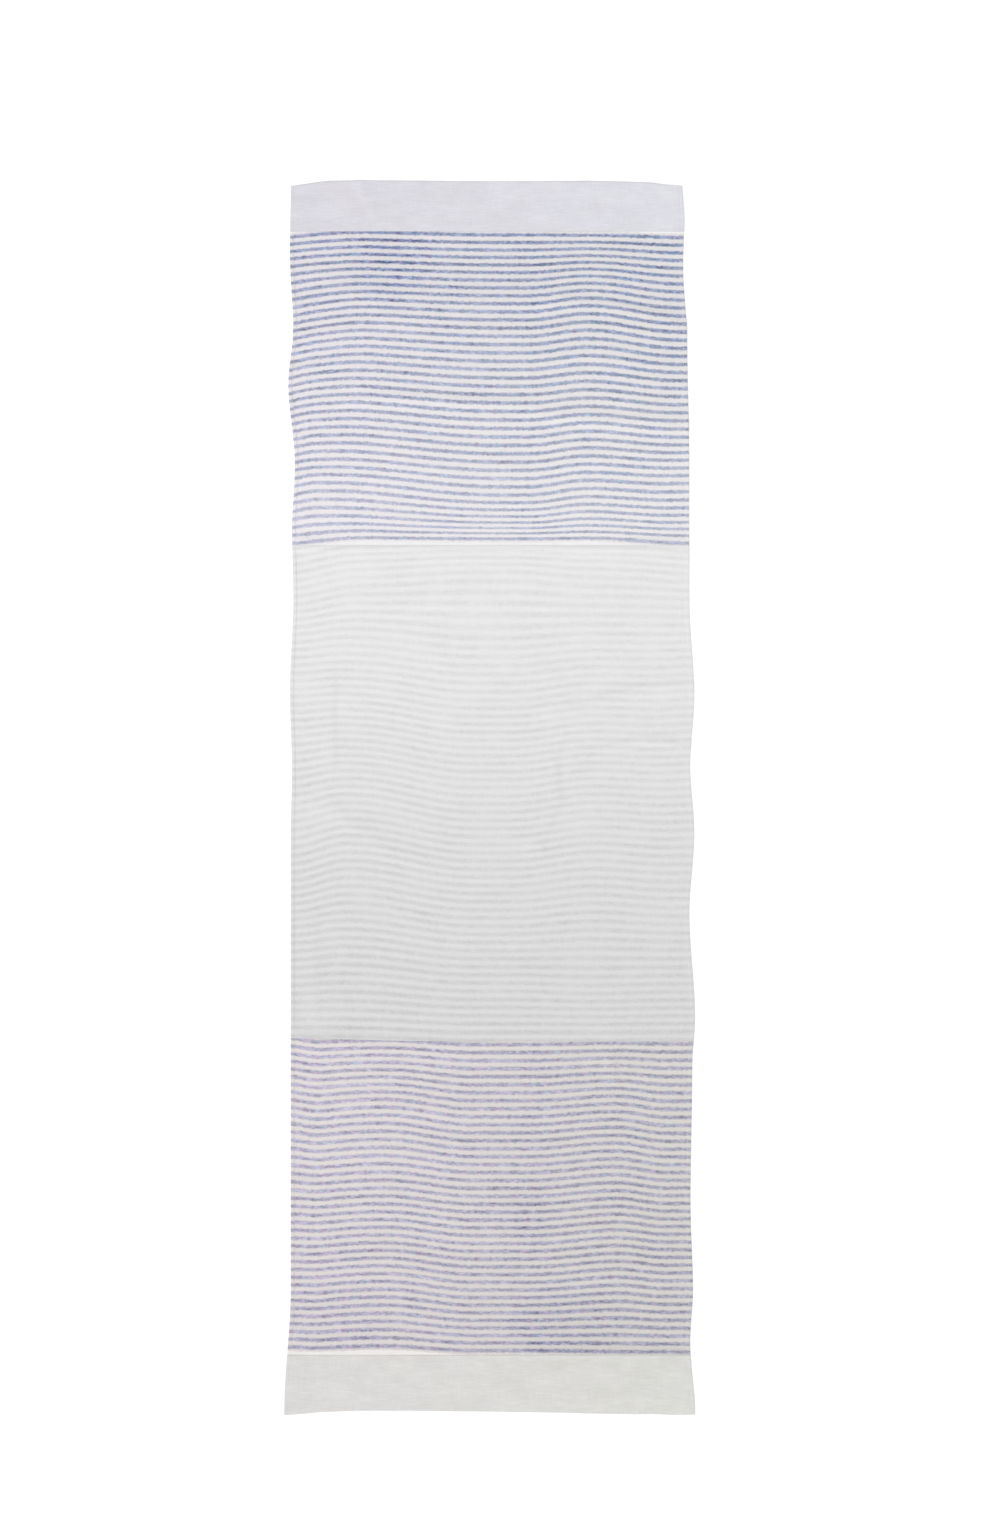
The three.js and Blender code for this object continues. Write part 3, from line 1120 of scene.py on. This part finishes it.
class TABLE_RUNNER_OT_add_bands(RunnerPieceOperator, bpy.types.Operator):
    """Adds the two plain bands, each a strip folded double"""

    bl_idname = "table_runner.add_bands"
    bl_label = "Add Bands"

    def execute(self, context):
        cloth, dyes, _, _ = settings(context)
        left, right = (0.96, 0.945, 0.94), (0.985, 0.995, 1.0)
        cool = plain_cloth("Head band cloth", dyes.head_band, left, right, 0.09)
        left, right = (0.99, 0.98, 0.99), (0.965, 0.972, 0.943)
        warm = plain_cloth("Foot band cloth", dyes.foot_band, left, right, 0.1)
        for band, material in ((HEAD_BAND, cool), (FOOT_BAND, warm)):
            make_band(band, material, cloth)
        return {"FINISHED"}


class TABLE_RUNNER_OT_add_upper_panel(RunnerPieceOperator, bpy.types.Operator):
    """Adds the gauze panel with blue stripes"""

    bl_idname = "table_runner.add_upper_panel"
    bl_label = "Add Blue Panel"

    def execute(self, context):
        cloth, dyes, _, _ = settings(context)
        look = look_of(
            UPPER_PANEL,
            left_ground=(1.005, 0.995, 0.995),
            right_ground=(0.975, 0.98, 0.955),
            left_stripe=(1.06, 1.0, 0.97),
            right_stripe=(0.885, 0.895, 0.885),
            hue=0.2,
            # painted light and shade along the panel: darker at the head end, lighter towards the foot
            # end
            light=(0.977, 1.076),
            stripe_strength=(1.03, 0.7),
            patches=[
                (-125, 648, 75, 60, 0.3),
                (215, 540, 60, 90, 0.12),
                (0, 540, 110, 50, -0.06),
            ],
            heather=0.62,
        )
        material = striped_cloth(
            "Blue striped gauze",
            dyes.blue_ground,
            dyes.blue_stripe,
            dyes.selvedge,
            {"First": 4.0 * MM, "Pitch": 9.98 * MM, "Count": 40, "Dark_Share": 0.44, "Softness": 0.12},
            look,
        )
        make_panel(UPPER_PANEL, material, cloth)
        return {"FINISHED"}


class TABLE_RUNNER_OT_add_centre_panel(RunnerPieceOperator, bpy.types.Operator):
    """Adds the gauze panel with pale grey stripes"""

    bl_idname = "table_runner.add_centre_panel"
    bl_label = "Add Grey Panel"

    def execute(self, context):
        cloth, dyes, _, _ = settings(context)
        look = look_of(
            CENTRE_PANEL,
            left_ground=(1.01, 1.01, 1.01),
            right_ground=(0.99, 0.99, 0.99),
            # painted shade: darker towards the foot end, where the light falls off
            light=(1.06, 0.93),
            stripe_strength=(0.58, 1.0),
            cloud=0.26,
            bands=0.007,
            heather=0.08,
            slub=0.045,
        )
        material = striped_cloth(
            "Grey striped gauze",
            dyes.grey_ground,
            dyes.grey_stripe,
            dyes.grey_ground,
            {"First": -1.3 * MM, "Pitch": 9.935 * MM, "Count": 70, "Dark_Share": 0.49, "Softness": 0.19},
            look,
        )
        make_panel(CENTRE_PANEL, material, cloth)
        return {"FINISHED"}


class TABLE_RUNNER_OT_add_lower_panel(RunnerPieceOperator, bpy.types.Operator):
    """Adds the gauze panel with violet stripes"""

    bl_idname = "table_runner.add_lower_panel"
    bl_label = "Add Violet Panel"

    def execute(self, context):
        cloth, dyes, _, _ = settings(context)
        look = look_of(
            LOWER_PANEL,
            left_ground=(1.05, 1.04, 1.065),
            right_ground=(0.962, 0.972, 0.957),
            left_stripe=(1.1, 1.065, 1.1),
            right_stripe=(0.93, 0.94, 0.945),
            hue=0.17,
            # painted shade: a little darker towards the foot end, where the light falls off
            light=(1.015, 0.98),
            patches=[
                (52, -506, 40, 55, 0.2),
                (-190, -640, 90, 50, 0.2),
                (193, -330, 70, 50, -0.12),
                (95, -650, 90, 60, 0.3),
            ],
            heather=0.52,
        )
        material = striped_cloth(
            "Violet striped gauze",
            dyes.violet_ground,
            dyes.violet_stripe,
            tinted(dyes.selvedge, 0.95, 0.93, 0.9),
            {"First": 4.0 * MM, "Pitch": 9.57 * MM, "Count": 40, "Dark_Share": 0.465, "Softness": 0.14},
            look,
        )
        make_panel(LOWER_PANEL, material, cloth)
        return {"FINISHED"}


class TABLE_RUNNER_OT_add_hem_stitching(RunnerPieceOperator, bpy.types.Operator):
    """Adds the line of stitching along each side of each cloth"""

    bl_idname = "table_runner.add_hem_stitching"
    bl_label = "Add Hem Stitching"

    def execute(self, context):
        cloth_settings, dyes, stitches, _ = settings(context)
        material = thread_material(dyes.thread)
        for cloth in BANDS + PANELS:
            for side in ("left", "right"):
                places = hem_places(cloth, side == "left", cloth_settings, stitches)
                piece = stitch_row(f"{cloth.node}_{side}_hem_stitches", places, stitches, material)
                join_to_frame(piece, cloth)
                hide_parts(f"{cloth.node}_{side}_hem_stitching")
        return {"FINISHED"}


class TABLE_RUNNER_OT_add_seam_stitching(RunnerPieceOperator, bpy.types.Operator):
    """Adds the line of stitching in each seam"""

    bl_idname = "table_runner.add_seam_stitching"
    bl_label = "Add Seam Stitching"

    def execute(self, context):
        cloth_settings, dyes, stitches, _ = settings(context)
        material = thread_material(dyes.thread)
        seams = {
            "head_band_seam": (HEAD_BAND_SEAM, "upper"),
            "upper_seam": (UPPER_SEAM, "centre"),
            "lower_seam": (LOWER_SEAM, "centre"),
            "foot_band_seam": (FOOT_BAND_SEAM, "lower"),
        }
        for name, (seam_y, body) in seams.items():
            places = seam_places(seam_y, cloth_settings, stitches)
            piece = stitch_row(f"{name}_stitches", places, stitches, material)
            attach(piece, body)
            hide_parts(f"{name}_stitching")
        return {"FINISHED"}


class TABLE_RUNNER_OT_declare_cloth(RunnerPieceOperator, bpy.types.Operator):
    """An empty step that changes nothing"""

    bl_idname = "table_runner.declare_cloth"
    bl_label = "State Cloth Sizes"

    def execute(self, context):
        return {"FINISHED"}


class TABLE_RUNNER_OT_add_stage(RunnerPieceOperator, bpy.types.Operator):
    """Adds the floor, the lights and the camera"""

    bl_idname = "table_runner.add_stage"
    bl_label = "Add Stage"

    def execute(self, context):
        stage = settings(context)[3]
        add_floor(stage)
        add_lights(stage)
        add_camera(stage)
        return {"FINISHED"}


def add_floor(stage):
    bm = bmesh.new()
    bmesh.ops.create_grid(bm, x_segments=8, y_segments=8, size=stage.floor_width / 2)
    mesh = mesh_from(bm, "floor")
    floor = new_object("floor", mesh)
    material, nodes = new_material("Pale floor")
    shader = material.node_tree.nodes["Principled BSDF"]
    nodes.fill(shader, Base_Color=rgba(stage.floor_colour), Roughness=0.9)
    mesh.materials.append(material)


def add_lights(stage):
    world = bpy.data.worlds.new("Even light")
    bpy.context.scene.world = world
    world.use_nodes = True
    background = world.node_tree.nodes["Background"]
    background.inputs["Color"].default_value = (1, 1, 1, 1)
    background.inputs["Strength"].default_value = stage.dome_strength
    light = bpy.data.lights.new("Soft key light", "SUN")
    light.angle = stage.key_softness
    light.energy = stage.key_strength
    key = new_object("Soft key light", light)
    key.location = KEY_PLACE
    key.rotation_euler = key.location.to_track_quat("Z", "Y").to_euler()


def add_camera(stage):
    data = bpy.data.cameras.new("Camera")
    data.lens = stage.lens
    data.sensor_width = SENSOR_WIDTH
    data.clip_end = VIEW_END
    camera = new_object("Camera", data)
    camera.location = (stage.camera_right, stage.camera_ahead, stage.camera_height)
    bpy.context.scene.camera = camera
    bpy.context.scene.view_settings.view_transform = "Standard"


class TABLE_RUNNER_PT_sidebar(bpy.types.Panel):
    """Lists the pieces of the runner and their settings"""

    bl_label = "Table Runner"
    bl_idname = "TABLE_RUNNER_PT_sidebar"
    bl_space_type = "VIEW_3D"
    bl_region_type = "UI"
    bl_category = "Table Runner"

    def draw(self, context):
        for group in settings(context):
            box = self.layout.box()
            for name in group.bl_rna.properties.keys():
                if name not in ("rna_type", "name"):
                    box.prop(group, name)
        for step in STEPS:
            self.layout.operator(step.bl_idname)


STEPS = (
    TABLE_RUNNER_OT_add_stage,
    TABLE_RUNNER_OT_add_bands,
    TABLE_RUNNER_OT_add_upper_panel,
    TABLE_RUNNER_OT_add_centre_panel,
    TABLE_RUNNER_OT_add_lower_panel,
    TABLE_RUNNER_OT_add_hem_stitching,
    TABLE_RUNNER_OT_add_seam_stitching,
    TABLE_RUNNER_OT_declare_cloth,
)
GROUPS = {
    "runner_cloth": RunnerClothSettings,
    "runner_dyes": RunnerDyeSettings,
    "runner_stitches": RunnerStitchSettings,
    "runner_stage": RunnerStageSettings,
}


def register():
    for group in GROUPS.values():
        bpy.utils.register_class(group)
    for step in STEPS:
        bpy.utils.register_class(step)
    bpy.utils.register_class(TABLE_RUNNER_PT_sidebar)
    for name, group in GROUPS.items():
        setattr(bpy.types.Scene, name, PointerProperty(type=group))


def unregister():
    for name in GROUPS:
        delattr(bpy.types.Scene, name)
    bpy.utils.unregister_class(TABLE_RUNNER_PT_sidebar)
    for step in reversed(STEPS):
        bpy.utils.unregister_class(step)
    for group in reversed(GROUPS.values()):
        bpy.utils.unregister_class(group)


def main():
    register()
    bpy.ops.table_runner.add_stage()
    bpy.ops.table_runner.add_bands()
    bpy.ops.table_runner.add_upper_panel()
    bpy.ops.table_runner.add_centre_panel()
    bpy.ops.table_runner.add_lower_panel()
    bpy.ops.table_runner.add_hem_stitching()
    bpy.ops.table_runner.add_seam_stitching()
    bpy.ops.table_runner.declare_cloth()


if __name__ == "__main__":
    main()
